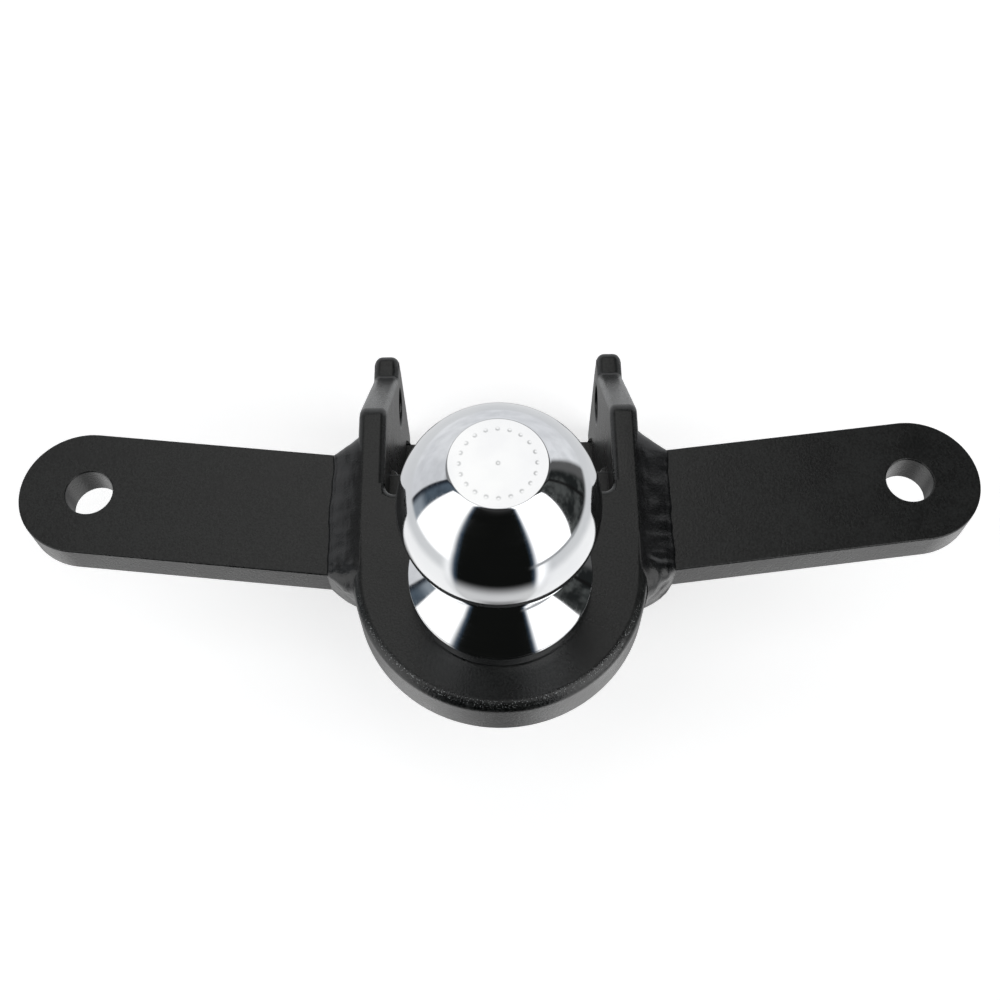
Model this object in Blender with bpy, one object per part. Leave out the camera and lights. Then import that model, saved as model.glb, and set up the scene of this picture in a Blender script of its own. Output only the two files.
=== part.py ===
"""Ball mount for a trailer hitch, with a 2-5/16 inch ball and two swept tie bars.

The frame's origin is the middle of the drawbar pin's axis: +X to the right tie bar,
+Y back towards the towing vehicle, +Z up. Lengths are in metres.
"""
import math

import bmesh
import bpy
from mathutils import Matrix, Vector

MM = 0.001
GAP = 0.3 * MM                     # clearance left between touching solids

# Where the ball axis and the platform's top lie from the drawbar pin
BALL_Y = -97.0 * MM
TOP_Z = 54.75 * MM

# Hitch ball: one forging with its neck, flange and threaded shank
BALL_RADIUS = 58.74 / 2 * MM
BALL_CENTRE_HEIGHT = 53.5 * MM     # above the platform
BALL_FLAT_RADIUS = 13.65 * MM
NECK_RADIUS = 17.5 * MM
NECK_FOOT_HEIGHT = 23.0 * MM
FLANGE_RADIUS = 29.25 * MM
FLANGE_RIM_HEIGHT = 6.8 * MM
SHANK_RADIUS = 31.75 / 2 * MM
SHANK_LENGTH = 69.85 * MM          # below the platform's top
ROUND_SEGMENTS = 56

# Plates
PLATFORM_THICKNESS = 19.05 * MM
PLATFORM_HALF_WIDTH = 47.625 * MM
PLATFORM_ARC_Y = BALL_Y + 4.35 * MM
PLATFORM_REAR_Y = BALL_Y + 32.0 * MM
PLATFORM_HOLE_RADIUS = 33.4 / 2 * MM
NOTCH_FILLET = 3.2 * MM
PLATFORM_ROUNDING = 3.4 * MM
PLATE_THICKNESS = 9.525 * MM       # cheeks and floor plate
CHEEK_INNER_X = 38.1 * MM
CHEEK_ROUNDING = 2.4 * MM
CHEEK_SHOULDER_Y = BALL_Y + 63.9 * MM
CHEEK_CAP_Y = BALL_Y + 102.0 * MM
CHEEK_CAP_Z = TOP_Z - 41.2 * MM
CHEEK_REAR_Y = BALL_Y + 113.0 * MM
CHEEK_BOTTOM_Z = TOP_Z - 106.5 * MM
CHEEK_FRONT_Y = BALL_Y + 3.0 * MM
CHEEK_FRONT_DROP = 12.0 * MM
CHEEK_TOE_Y = BALL_Y + 28.0 * MM
PIN_HOLE_RADIUS = 15.875 / 2 * MM
WEB_FRONT_Y = BALL_Y + 29.9 * MM
WEB_REAR_Y = WEB_FRONT_Y + 19.05 * MM
FLOOR_TOP_Z = -31.75 * MM          # carries a drawbar 63.5 mm tall, centred on the pin
FLOOR_REAR_Y = BALL_Y + 98.2 * MM

# Swept tie bars
BAR_WIDTH = 44.45 * MM
BAR_THICKNESS = 12.7 * MM
BAR_SWEEP = math.radians(6.5)
BAR_AXIS_Y = BALL_Y + 21.1 * MM    # where the bar's centre line crosses the middle plane
BAR_END_X = 139.9 * MM             # centre of the round end
BAR_HOLE_X = 138.5 * MM
BAR_HOLE_RADIUS = 15.875 / 2 * MM
BAR_ROUNDING = 1.0 * MM
BAR_BOTTOM_Z = TOP_Z - PLATFORM_THICKNESS

# Fasteners under the platform
WASHER_INNER_RADIUS = 32.8 / 2 * MM
WASHER_OUTER_RADIUS = 49.0 / 2 * MM
WASHER_THICKNESS = 7.6 * MM
WASHER_SLIT = 2.4 * MM
NUT_ACROSS_FLATS = 47.6 * MM
NUT_THICKNESS = 27.0 * MM
NUT_BORE_RADIUS = SHANK_RADIUS + GAP

# Weld beads
BAR_WELD_REACH = 9.4 * MM          # along the bar
BAR_WELD_LEGS = {"top": 5.8 * MM, "bottom": 5.0 * MM, "front": 6.0 * MM, "rear": 8.4 * MM}
WEB_WELD_LEG = 3.4 * MM
WEB_WELD_LIFT = 2.5 * MM           # leaves the drawbar's seat clear at its front corners
FLOOR_WELD_LEG = 4.6 * MM
FLOOR_REAR_WELD_LEG = 2.6 * MM
PLATFORM_WELD_LEG = 4.6 * MM
BEAD_CROWN = 0.14                  # how far a bead's face bulges, as a share of its leg

BLACK_COAT = (0.024, 0.026, 0.025)
WELD_COAT = (0.027, 0.028, 0.028)
CHROME = (0.80, 0.81, 0.82)
ZINC = (0.56, 0.57, 0.58)


def clear_scene():
    for old in list(bpy.data.objects):
        bpy.data.objects.remove(old, do_unlink=True)


def make_material(name, colour, roughness, metallic):
    material = bpy.data.materials.new(name)
    material.use_nodes = True
    shader = material.node_tree.nodes["Principled BSDF"]
    shader.inputs["Base Color"].default_value = (*colour, 1.0)
    shader.inputs["Roughness"].default_value = roughness
    shader.inputs["Metallic"].default_value = metallic
    return material


def add_object(name, bm, finish, location=(0.0, 0.0, 0.0)):
    """Turn a bmesh, built about `location`, into a named object with its own material."""
    bmesh.ops.recalc_face_normals(bm, faces=bm.faces)
    mesh = bpy.data.meshes.new(name)
    bm.to_mesh(mesh)
    bm.free()
    obj = bpy.data.objects.new(name, mesh)
    obj.location = location
    bpy.context.scene.collection.objects.link(obj)
    mesh.materials.append(make_material(name, *finish))
    mesh.shade_smooth()
    mesh.set_sharp_from_angle(angle=math.radians(32))
    return obj


def coat(colour=BLACK_COAT):
    return colour, 0.42, 0.0


def arc(centre, radius, start, end, steps):
    """Points of an arc in a plane, from angle `start` to `end` in degrees."""
    return [(centre[0] + radius * math.cos(math.radians(a)),
             centre[1] + radius * math.sin(math.radians(a)))
            for a in (start + (end - start) * i / steps for i in range(steps + 1))]


def prism(outline, place, low, high):
    """Extrude an outline between two levels; place(a, b, level) gives each 3-D point."""
    bm = bmesh.new()
    verts = [bm.verts.new(place(a, b, low)) for a, b in outline]
    face = bm.faces.new(verts)
    moved = bmesh.ops.extrude_face_region(bm, geom=[face])
    shift = Vector(place(0.0, 0.0, high)) - Vector(place(0.0, 0.0, low))
    bmesh.ops.translate(bm, verts=[v for v in moved["geom"] if isinstance(v, bmesh.types.BMVert)],
                        vec=shift)
    bmesh.ops.recalc_face_normals(bm, faces=bm.faces)
    return bm


def level_plan(a, b, level):
    return (a, b, level)


def side_plan(a, b, level):
    return (level, a, b)


def round_edges(bm, chosen, width, segments):
    edges = [edge for edge in bm.edges if chosen(*[v.co for v in edge.verts])]
    bmesh.ops.bevel(bm, geom=edges, offset=width, segments=segments, profile=0.5,
                    affect="EDGES", clamp_overlap=True)


def drill(obj, name, radius, length, centre, axis):
    """Cut a round hole along `axis` with a hidden cylinder."""
    bm = bmesh.new()
    bmesh.ops.create_cone(bm, cap_ends=True, segments=40, radius1=radius, radius2=radius,
                          depth=length)
    turn = Vector((0.0, 0.0, 1.0)).rotation_difference(Vector(axis)).to_matrix().to_4x4()
    bmesh.ops.transform(bm, matrix=Matrix.Translation(centre) @ turn, verts=bm.verts)
    mesh = bpy.data.meshes.new(name)
    bm.to_mesh(mesh)
    bm.free()
    cutter = bpy.data.objects.new(name, mesh)
    cutter.hide_render = True
    cutter.display_type = "WIRE"
    bpy.context.scene.collection.objects.link(cutter)
    cut = obj.modifiers.new(name, "BOOLEAN")
    cut.operation = "DIFFERENCE"
    cut.solver = "EXACT"
    cut.object = cutter


def turned(profile, segments):
    """Spin a closed (radius, height) profile about Z; points at radius 0 close the poles."""
    bm = bmesh.new()
    rings = []
    for radius, height in profile:
        if radius < 1e-9:
            rings.append([bm.verts.new((0.0, 0.0, height))])
            continue
        rings.append([bm.verts.new((radius * math.cos(2 * math.pi * i / segments),
                                    radius * math.sin(2 * math.pi * i / segments), height))
                      for i in range(segments)])
    closed = len(rings[0]) > 1
    pairs = list(zip(rings, rings[1:] + ([rings[0]] if closed else [])))
    for lower, upper in pairs:
        for i in range(segments):
            j = (i + 1) % segments
            corners = [lower[i % len(lower)], lower[j % len(lower)],
                       upper[j % len(upper)], upper[i % len(upper)]]
            unique = list(dict.fromkeys(corners))
            if len(unique) > 2:
                bm.faces.new(unique)
    return bm


def hitch_ball():
    """Ball, neck, flange and shank, turned as one piece about the ball's axis."""
    def on_ball(tilt):
        return (BALL_RADIUS * math.sin(tilt),
                BALL_CENTRE_HEIGHT + BALL_RADIUS * math.cos(tilt))

    flat_tilt = math.asin(BALL_FLAT_RADIUS / BALL_RADIUS)
    neck_tilt = math.pi - math.asin(NECK_RADIUS / BALL_RADIUS)
    steps = 22
    profile = [(0.0, on_ball(flat_tilt)[1])]
    profile += [on_ball(flat_tilt + (neck_tilt - flat_tilt) * i / steps)
                for i in range(steps + 1)]
    # Hollow flare from the neck's foot out to the flange's rim
    for i in range(7):
        share = i / 6
        radius = NECK_RADIUS + (FLANGE_RADIUS - NECK_RADIUS) * (0.35 * share + 0.65 * share ** 2)
        profile.append((radius, NECK_FOOT_HEIGHT + (FLANGE_RIM_HEIGHT - NECK_FOOT_HEIGHT) * share))
    profile += [(FLANGE_RADIUS, GAP + 0.6 * MM), (FLANGE_RADIUS - 0.6 * MM, GAP),
                (SHANK_RADIUS, GAP), (SHANK_RADIUS, 2.0 * MM - SHANK_LENGTH),
                (SHANK_RADIUS - 2.0 * MM, -SHANK_LENGTH), (0.0, -SHANK_LENGTH)]
    bm = turned(profile, ROUND_SEGMENTS)
    return add_object("hitch_ball", bm, (CHROME, 0.08, 1.0), (0.0, BALL_Y, TOP_Z))


def lock_washer():
    """Split spring washer, drawn up flat, with its slit facing forward."""
    top = -PLATFORM_THICKNESS - GAP
    bottom = top - WASHER_THICKNESS
    half_slit = WASHER_SLIT / 2 / WASHER_OUTER_RADIUS
    start, sweep = -math.pi / 2 + half_slit, 2 * math.pi - 2 * half_slit
    steps = 44
    bm = bmesh.new()
    rings = []
    for i in range(steps + 1):
        angle = start + sweep * i / steps
        rings.append([bm.verts.new((r * math.cos(angle), r * math.sin(angle), z))
                      for r, z in ((WASHER_INNER_RADIUS, bottom), (WASHER_OUTER_RADIUS, bottom),
                                   (WASHER_OUTER_RADIUS, top), (WASHER_INNER_RADIUS, top))])
    for a, b in zip(rings, rings[1:]):
        for i in range(4):
            j = (i + 1) % 4
            bm.faces.new((a[i], a[j], b[j], b[i]))
    bm.faces.new(rings[0])
    bm.faces.new(rings[-1])
    return add_object("lock_washer", bm, (ZINC, 0.35, 1.0), (0.0, BALL_Y, TOP_Z))


def ball_nut():
    """Hexagon nut whose corners are turned down at both ends, with a countersunk bore."""
    top = -PLATFORM_THICKNESS - GAP - WASHER_THICKNESS - GAP
    bottom = top - NUT_THICKNESS
    flat, corner = NUT_ACROSS_FLATS / 2, NUT_ACROSS_FLATS / math.sqrt(3)
    sides, per_side = 6, 8
    chamfer_rise = 3.0 * MM
    sink = 1.4 * MM
    bm = bmesh.new()

    def hexagon_radius(angle):
        within = (angle + math.pi / 6) % (math.pi / 3) - math.pi / 6
        return flat / math.cos(within)

    def ring(radius_at, height_at):
        out = []
        for i in range(sides * per_side):
            angle = 2 * math.pi * i / (sides * per_side)
            out.append(bm.verts.new((radius_at(angle) * math.cos(angle),
                                     radius_at(angle) * math.sin(angle), height_at(angle))))
        return out

    def fall(angle):
        return chamfer_rise * (hexagon_radius(angle) - flat + 0.4 * MM) / (corner - flat)

    rings = [ring(lambda a: NUT_BORE_RADIUS, lambda a: top - sink),
             ring(lambda a: NUT_BORE_RADIUS + sink, lambda a: top),
             ring(lambda a: flat - 0.4 * MM, lambda a: top),
             ring(hexagon_radius, lambda a: top - fall(a)),
             ring(hexagon_radius, lambda a: bottom + fall(a)),
             ring(lambda a: flat - 0.4 * MM, lambda a: bottom),
             ring(lambda a: NUT_BORE_RADIUS + sink, lambda a: bottom),
             ring(lambda a: NUT_BORE_RADIUS, lambda a: bottom + sink)]
    count = sides * per_side
    for a, b in zip(rings, rings[1:] + rings[:1]):
        for i in range(count):
            j = (i + 1) % count
            bm.faces.new((a[i], a[j], b[j], b[i]))
    return add_object("ball_nut", bm, (ZINC, 0.35, 1.0), (0.0, BALL_Y, TOP_Z))


def ball_platform():
    """Round-fronted plate with a filleted notch between its two rear lugs."""
    lug_y = PLATFORM_REAR_Y + NOTCH_FILLET + 0.2 * MM
    notch_x = CHEEK_INNER_X - NOTCH_FILLET
    outline = arc((0.0, PLATFORM_ARC_Y), PLATFORM_HALF_WIDTH, 180, 360, 40)
    outline += [(PLATFORM_HALF_WIDTH, lug_y), (CHEEK_INNER_X, lug_y)]
    outline += arc((notch_x, PLATFORM_REAR_Y + NOTCH_FILLET), NOTCH_FILLET, 0, -90, 5)
    outline += arc((-notch_x, PLATFORM_REAR_Y + NOTCH_FILLET), NOTCH_FILLET, -90, -180, 5)
    outline += [(-CHEEK_INNER_X, lug_y), (-PLATFORM_HALF_WIDTH, lug_y)]
    bm = prism(outline, level_plan, TOP_Z - PLATFORM_THICKNESS, TOP_Z)

    def front_top(a, b):
        return max(a.y, b.y) < PLATFORM_ARC_Y + 1e-6 and min(a.z, b.z) > TOP_Z - 1e-6

    round_edges(bm, front_top, PLATFORM_ROUNDING, 5)
    obj = add_object("ball_platform", bm, coat())
    drill(obj, "shank_hole_cutter", PLATFORM_HOLE_RADIUS, 3 * PLATFORM_THICKNESS,
          (0.0, BALL_Y, TOP_Z - PLATFORM_THICKNESS / 2), (0, 0, 1))
    return obj


def cheek_plate(name, side):
    """Side plate: level shoulder, slope down to a short cap, square tail with the pin hole."""
    seat_z = TOP_Z - PLATFORM_THICKNESS - GAP
    seam_y = PLATFORM_REAR_Y + NOTCH_FILLET + 0.2 * MM + GAP
    outline = [(seam_y, TOP_Z), (seam_y, seat_z), (CHEEK_FRONT_Y, seat_z),
               (CHEEK_FRONT_Y, seat_z - CHEEK_FRONT_DROP), (CHEEK_TOE_Y, CHEEK_BOTTOM_Z),
               (CHEEK_REAR_Y, CHEEK_BOTTOM_Z), (CHEEK_REAR_Y, CHEEK_CAP_Z),
               (CHEEK_CAP_Y, CHEEK_CAP_Z), (CHEEK_SHOULDER_Y, TOP_Z)]
    inner = side * CHEEK_INNER_X
    outer = side * (CHEEK_INNER_X + PLATE_THICKNESS)
    bm = prism(outline, side_plan, min(inner, outer), max(inner, outer))

    def exposed(a, b):
        long_edge = abs(a.x - b.x) < 1e-6
        in_seat = all(p.z > seat_z - 1e-6 and p.y < seam_y + 1e-6 for p in (a, b))
        return long_edge and not in_seat

    round_edges(bm, exposed, CHEEK_ROUNDING, 3)
    obj = add_object(name, bm, coat())
    drill(obj, name + "_pin_cutter", PIN_HOLE_RADIUS, 3 * PLATE_THICKNESS,
          ((inner + outer) / 2, 0.0, 0.0), (1, 0, 0))
    return obj


def box_plate(low, high, rounding):
    outline = [(low[0], low[1]), (high[0], low[1]), (high[0], high[1]), (low[0], high[1])]
    bm = prism(outline, level_plan, low[2], high[2])
    round_edges(bm, lambda a, b: True, rounding, 2)
    return bm


def front_web():
    """Thick cross plate under the platform's rear edge; the drawbar butts against it."""
    half = CHEEK_INNER_X - GAP
    low = (-half, WEB_FRONT_Y, FLOOR_TOP_Z - PLATE_THICKNESS)
    high = (half, WEB_REAR_Y, TOP_Z - PLATFORM_THICKNESS - GAP)
    return add_object("front_web", box_plate(low, high, 0.8 * MM), coat())


def floor_plate():
    """Plate that closes the underside of the drawbar pocket."""
    half = CHEEK_INNER_X - GAP
    low = (-half, WEB_REAR_Y + GAP, FLOOR_TOP_Z - PLATE_THICKNESS)
    return add_object("floor_plate", box_plate(low, (half, FLOOR_REAR_Y, FLOOR_TOP_Z), 0.8 * MM), coat())


def bar_line_y(x, offset):
    """Y on a line parallel to the bar's centre line; `offset` is square to the bar."""
    return BAR_AXIS_Y + x * math.tan(BAR_SWEEP) + offset / math.cos(BAR_SWEEP)


def tie_bar(name, side):
    """Flat bar, swept back, with a round end and one bolt hole."""
    root_x = PLATFORM_HALF_WIDTH + GAP
    half = BAR_WIDTH / 2
    sweep = math.degrees(BAR_SWEEP)
    end = (BAR_END_X, bar_line_y(BAR_END_X, 0.0))
    outline = [(root_x, bar_line_y(root_x, -half))]
    outline += arc(end, half, sweep - 90, sweep + 90, 24)
    outline += [(root_x, bar_line_y(root_x, half))]
    outline = [(side * x, y) for x, y in outline]
    top = BAR_BOTTOM_Z + BAR_THICKNESS
    bm = prism(outline, level_plan, BAR_BOTTOM_Z, top)

    def rim(a, b):
        return abs(a.z - b.z) < 1e-6 and not all(abs(abs(p.x) - root_x) < 1e-6 for p in (a, b))

    round_edges(bm, rim, BAR_ROUNDING, 2)
    obj = add_object(name, bm, coat())
    drill(obj, name + "_hole_cutter", BAR_HOLE_RADIUS, 3 * BAR_THICKNESS,
          (side * BAR_HOLE_X, bar_line_y(BAR_HOLE_X, 0.0), BAR_BOTTOM_Z), (0, 0, 1))
    return obj


def bead_section(reach, leg, steps=4):
    """Cross-section of a fillet bead: root corner, then a bulging face from toe to toe."""
    points = [(GAP, GAP)]
    for i in range(steps + 1):
        share = i / steps
        bulge = BEAD_CROWN * math.sin(math.pi * share)
        points.append((GAP + leg * (1 - share + bulge), GAP + reach * (share + bulge / 2)))
    return points


def loft(name, sections, colour=WELD_COAT):
    """Join equal rings of points into one solid with closed ends."""
    bm = bmesh.new()
    rings = [[bm.verts.new(p) for p in section] for section in sections]
    count = len(rings[0])
    for a, b in zip(rings, rings[1:]):
        for i in range(count):
            j = (i + 1) % count
            bm.faces.new((a[i], a[j], b[j], b[i]))
    bm.faces.new(rings[0])
    bm.faces.new(rings[-1])
    return add_object(name, bm, coat(colour))


def bar_weld(name, side, run):
    """One of the four mitred runs of the bead that ties a bar's root to the side plates."""
    half = BAR_WIDTH / 2
    top, bottom = BAR_BOTTOM_Z + BAR_THICKNESS, BAR_BOTTOM_Z
    # Each run: way out from the bar, way of travel, then (neighbour, offset, height) at its ends
    runs = {"top": ((0, 1), (1, 0), ("front", -half, top), ("rear", half, top)),
            "bottom": ((0, -1), (1, 0), ("front", -half, bottom), ("rear", half, bottom)),
            "front": ((-1, 0), (0, 1), ("bottom", -half, bottom), ("top", -half, top)),
            "rear": ((1, 0), (0, 1), ("bottom", half, bottom), ("top", half, top))}
    outward, travel, start, end = runs[run]
    own = bead_section(BAR_WELD_REACH, BAR_WELD_LEGS[run])
    pieces = 8
    sections = [[] for _ in range(pieces + 1)]
    for i, (out, along_bar) in enumerate(own):
        x = PLATFORM_HALF_WIDTH + along_bar
        ends = []
        for (neighbour, offset, height), way in ((start, -1), (end, 1)):
            mitre = way * (bead_section(BAR_WELD_REACH, BAR_WELD_LEGS[neighbour])[i][0] - GAP)
            ends.append(Vector((side * x,
                                bar_line_y(x, offset) + outward[0] * out + travel[0] * mitre,
                                height + outward[1] * out + travel[1] * mitre)))
        for step, section in enumerate(sections):
            section.append(ends[0].lerp(ends[1], step / pieces))
    return loft(name, sections)


def corner_weld(name, corner, into, up, along, leg):
    """Straight fillet bead in an inside corner; `into` and `up` point away from its faces."""
    corner, into, up, along = (Vector(v) for v in (corner, into, up, along))
    pieces = 6
    sections = [[corner + into * a + up * b + along * (step / pieces)
                 for a, b in bead_section(leg, leg)] for step in range(pieces + 1)]
    return loft(name, sections)


def plate_welds(word, side):
    """Beads inside the pocket and under the platform, on one cheek."""
    wall = side * CHEEK_INNER_X
    inward = (-side, 0, 0)
    floor_bottom = FLOOR_TOP_Z - PLATE_THICKNESS
    under = TOP_Z - PLATFORM_THICKNESS
    margin = 1.5 * MM
    web_foot = FLOOR_TOP_Z + WEB_WELD_LIFT
    corner_weld(word + "_web_weld", (wall, WEB_REAR_Y, web_foot), inward, (0, 1, 0),
                (0, 0, under - GAP - margin - web_foot), WEB_WELD_LEG)
    corner_weld(word + "_floor_rear_weld", (wall, FLOOR_REAR_Y, floor_bottom), inward, (0, 1, 0),
                (0, 0, PLATE_THICKNESS), FLOOR_REAR_WELD_LEG)
    corner_weld(word + "_floor_bottom_weld", (wall, WEB_REAR_Y + margin, floor_bottom), inward,
                (0, 0, -1), (0, FLOOR_REAR_Y - WEB_REAR_Y - 2 * margin, 0), FLOOR_WELD_LEG)
    corner_weld(word + "_platform_weld", (wall, CHEEK_FRONT_Y + margin, under), inward,
                (0, 0, -1), (0, WEB_FRONT_Y - CHEEK_FRONT_Y - 2 * margin, 0), PLATFORM_WELD_LEG)


def main():
    clear_scene()
    hitch_ball()
    lock_washer()
    ball_nut()
    ball_platform()
    front_web()
    floor_plate()
    for word, side in (("left", -1), ("right", 1)):
        cheek_plate(word + "_cheek_plate", side)
        tie_bar(word + "_tie_bar", side)
        for run in ("top", "bottom", "front", "rear"):
            bar_weld(f"{word}_bar_{run}_weld", side, run)
        plate_welds(word, side)


main()
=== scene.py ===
"""Looks for the ball mount: black satin powder coat, weld beads, chromed ball, zinc nut and washer.

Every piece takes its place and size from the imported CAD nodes. Lengths are in metres.
"""

import math

import bmesh
import bpy
import numpy as np
from mathutils import Matrix, Vector, noise


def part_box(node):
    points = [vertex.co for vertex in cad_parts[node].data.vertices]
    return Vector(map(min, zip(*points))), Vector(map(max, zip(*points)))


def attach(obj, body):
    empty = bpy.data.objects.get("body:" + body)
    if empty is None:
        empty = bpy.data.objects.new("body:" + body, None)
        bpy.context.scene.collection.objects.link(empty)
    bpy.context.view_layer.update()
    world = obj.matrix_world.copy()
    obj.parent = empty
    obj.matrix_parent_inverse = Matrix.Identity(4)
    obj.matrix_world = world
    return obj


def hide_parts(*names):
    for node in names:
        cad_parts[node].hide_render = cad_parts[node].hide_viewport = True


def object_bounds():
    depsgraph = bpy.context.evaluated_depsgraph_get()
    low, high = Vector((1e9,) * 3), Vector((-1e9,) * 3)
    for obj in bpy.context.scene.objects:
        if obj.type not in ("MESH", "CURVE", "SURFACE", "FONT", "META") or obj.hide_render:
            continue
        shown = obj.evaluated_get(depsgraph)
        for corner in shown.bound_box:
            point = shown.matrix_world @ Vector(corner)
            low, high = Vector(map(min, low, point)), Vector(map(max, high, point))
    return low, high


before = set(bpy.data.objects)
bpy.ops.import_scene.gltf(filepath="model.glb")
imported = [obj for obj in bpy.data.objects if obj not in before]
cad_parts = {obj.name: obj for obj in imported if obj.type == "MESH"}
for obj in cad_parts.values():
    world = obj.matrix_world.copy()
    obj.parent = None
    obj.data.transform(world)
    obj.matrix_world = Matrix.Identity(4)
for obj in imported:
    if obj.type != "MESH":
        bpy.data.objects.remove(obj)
cad_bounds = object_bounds()

MM = 0.001
NEAR = MM / 10  # an edge this close to a plane counts as lying on it

# Places read from the frame
SHANK_FOOT, BALL_TOP = (corner.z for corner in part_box("hitch_ball"))
BALL_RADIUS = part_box("hitch_ball")[1].x
BALL_Y = (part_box("hitch_ball")[0].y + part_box("hitch_ball")[1].y) / 2
PLATFORM_LOW, PLATFORM_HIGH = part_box("ball_platform")
TOP_Z = PLATFORM_HIGH.z
UNDER_Z = PLATFORM_LOW.z
HALF_WIDTH = PLATFORM_HIGH.x
CHEEK_LOW, CHEEK_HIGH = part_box("right_cheek_plate")
CHEEK_INNER_X, CHEEK_OUTER_X = CHEEK_LOW.x, CHEEK_HIGH.x
WEB_LOW, WEB_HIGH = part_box("front_web")
FLOOR_LOW, FLOOR_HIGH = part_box("floor_plate")
BAR_LOW, BAR_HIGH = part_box("right_tie_bar")
NUT_LOW, NUT_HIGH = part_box("ball_nut")
WASHER_LOW, WASHER_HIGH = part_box("lock_washer")

# Sizes that a node's box doesn't give
BALL_CENTRE_Z = TOP_Z + 53.5 * MM
NECK_RADIUS = 17.5 * MM
NECK_FOOT = 23.0 * MM
FLANGE_RADIUS = 29.25 * MM
FLANGE_RIM = 6.8 * MM
SHANK_RADIUS = 31.75 / 2 * MM
THREAD_LEAD = 25.4 / 7 * MM
THREAD_DEPTH = 1.5 * MM
THREAD_CLEARANCE = 0.3 * MM
PUNCH_RING_RADIUS = 10.6 * MM
PUNCH_DOTS = 20
WASHER_BORE_RADIUS = 32.8 / 2 * MM
SHANK_HOLE_RADIUS = 33.4 / 2 * MM
PLATFORM_REAR_Y = BALL_Y + 32.0 * MM
NOTCH_CORNER = 3.2 * MM
PLATFORM_ROUNDING = 3.4 * MM
NOTCH_RIM = 1.2 * MM
CHEEK_CORNER = 3.0 * MM
CAP_CORNER = 3.7 * MM
CHEEK_RIM = 2.4 * MM
CAP_RIM = 3.4 * MM
HOLE_RIM = 1.0 * MM
PLAIN_RIM = 0.5 * MM
BOX_PLATE_RIM = 1.2 * MM
HIDDEN_RIM = 0.4 * MM
SHOULDER_Y = BALL_Y + 63.9 * MM
CAP_Y = BALL_Y + 102.0 * MM
CAP_Z = TOP_Z - 41.2 * MM
TOE_Y = BALL_Y + 28.0 * MM
FRONT_DROP = 12.0 * MM
HOLE_RADIUS = 15.875 / 2 * MM
SWEEP = math.radians(6.5)
BAR_WIDTH = 44.45 * MM
BAR_AXIS_Y = BALL_Y + 21.1 * MM
BAR_END_X = 139.9 * MM
BAR_HOLE_X = 138.5 * MM

# Root beads: reach along the bar, front leg, rear leg, fullness under the front corner, and the place in
# the noise where their unevenness starts
ROOT_BEADS = {"left": (9.2 * MM, 5.4 * MM, 8.0 * MM, 0.3 * MM, 3.1),
              "right": (9.8 * MM, 7.3 * MM, 9.0 * MM, 0.8 * MM, 11.7)}
ROOT_TOP_LEG = 6.35 * MM
ROOT_BOTTOM_LEG = 5.0 * MM
ROOT_SPILL = 2.5 * MM


# ---------------------------------------------------------------- outlines and meshes

def arc(centre, radius, start, end, steps):
    """Points along an arc from `start` to `end` degrees."""
    return [(centre[0] + radius * math.cos(math.radians(a)),
             centre[1] + radius * math.sin(math.radians(a)))
            for a in np.linspace(start, end, steps + 1)]


def filleted(corners, steps=8):
    """Outline through (a, b, radius) corners, each rounded by its own radius."""
    points = []
    for i, (a, b, radius) in enumerate(corners):
        here = Vector((a, b))
        if radius == 0:
            points.append((a, b))
            continue
        back = (Vector(corners[i - 1][:2]) - here).normalized()
        ahead = (Vector(corners[(i + 1) % len(corners)][:2]) - here).normalized()
        half = back.angle(ahead) / 2
        centre = here + (back + ahead).normalized() * (radius / math.sin(half))
        first = here + back * (radius / math.tan(half)) - centre
        last = here + ahead * (radius / math.tan(half)) - centre
        turn = first.angle_signed(last)
        for step in range(steps + 1):
            spoke = first.copy()
            spoke.rotate(Matrix.Rotation(-turn * step / steps, 2))
            points.append(tuple(centre + spoke))
    return points


def level_plan(a, b, level):
    """Place in a plate that lies flat."""
    return (a, b, level)


def side_plan(a, b, level):
    """Place in a plate that stands front to back."""
    return (level, a, b)


def new_piece(name, mesh, body, replaced, material):
    """Object from a mesh, riding on a body in place of the CAD nodes it replaces."""
    piece = bpy.data.objects.new(name, mesh)
    bpy.context.scene.collection.objects.link(piece)
    mesh.materials.clear()
    mesh.materials.append(material)
    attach(piece, body)
    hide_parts(*replaced)


def lattice(name, rows, closed_rows=False, sharp=50):
    """Mesh over an array of rings of points; open ends are capped."""
    rows = np.asarray(rows)
    count, around = rows.shape[:2]
    mesh = bpy.data.meshes.new(name)
    index = np.arange(count * around).reshape(count, around)
    faces = []
    last = count if closed_rows else count - 1
    for i in range(last):
        a, b = index[i], index[(i + 1) % count]
        faces += [(int(a[j]), int(a[(j + 1) % around]), int(b[(j + 1) % around]), int(b[j]))
                  for j in range(around)]
    if not closed_rows:
        faces += [tuple(int(v) for v in index[0][::-1]), tuple(int(v) for v in index[-1])]
    mesh.from_pydata(rows.reshape(-1, 3).tolist(), [], faces)
    bm = bmesh.new()
    bm.from_mesh(mesh)
    bmesh.ops.recalc_face_normals(bm, faces=bm.faces)
    bm.to_mesh(mesh)
    bm.free()
    mesh.shade_smooth()
    mesh.set_sharp_from_angle(angle=math.radians(sharp))
    return mesh


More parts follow.
